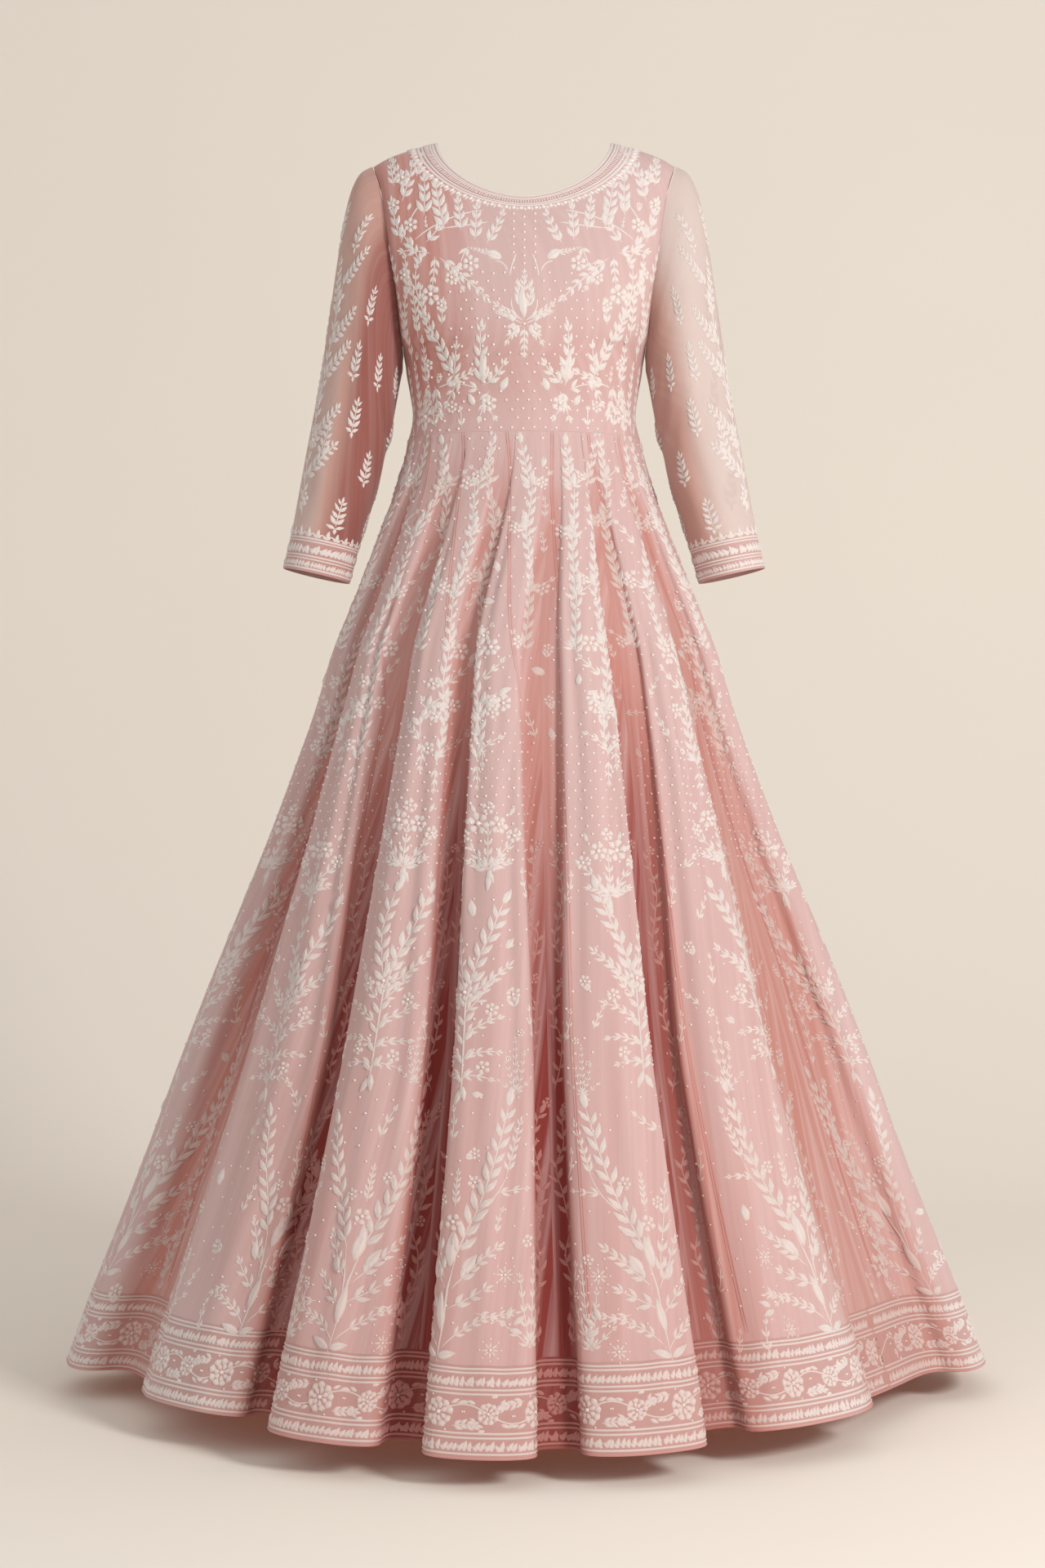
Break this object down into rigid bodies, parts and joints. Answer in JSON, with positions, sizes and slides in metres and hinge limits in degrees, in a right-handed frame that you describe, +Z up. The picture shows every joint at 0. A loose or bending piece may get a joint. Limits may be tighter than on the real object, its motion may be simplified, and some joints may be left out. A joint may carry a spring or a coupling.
{
  "type": "anarkali gown",
  "caption": "Long-sleeved, round-necked anarkali gown with a fitted bodice and a full, deeply folded panelled skirt, filled out with no wearer.",
  "frame": {"origin": "midway between the neck ends of the two shoulder seams, where the wearer's shoulders hold the gown up", "axes": "+Z up, -Y out of the front, +X towards the wearer's left"},
  "size_m": [1.0896, 1.0733, 1.4509],
  "materials": {
    "georgette": "soft semi-sheer pink georgette with white thread embroidery",
    "organza": "sheer pink organza with small white sprigs",
    "embroidered_band": "pink cloth closely covered in white thread embroidery"
  },
  "bodies": {
    "root": {"bodice_front": "georgette", "bodice_back": "georgette", "neck_band": "embroidered_band", "sleeve_left": "organza", "sleeve_right": "organza", "cuff_left": "embroidered_band", "cuff_right": "embroidered_band", "kali_01": "georgette", "kali_02": "georgette", "kali_03": "georgette", "kali_04": "georgette", "kali_05": "georgette", "kali_06": "georgette", "kali_07": "georgette", "kali_08": "georgette", "kali_09": "georgette", "kali_10": "georgette", "kali_11": "georgette", "kali_12": "georgette", "kali_13": "georgette", "kali_14": "georgette", "kali_15": "georgette", "kali_16": "georgette", "border_front": "embroidered_band", "border_left": "embroidered_band", "border_back": "embroidered_band", "border_right": "embroidered_band"}
  },
  "joints": []
}
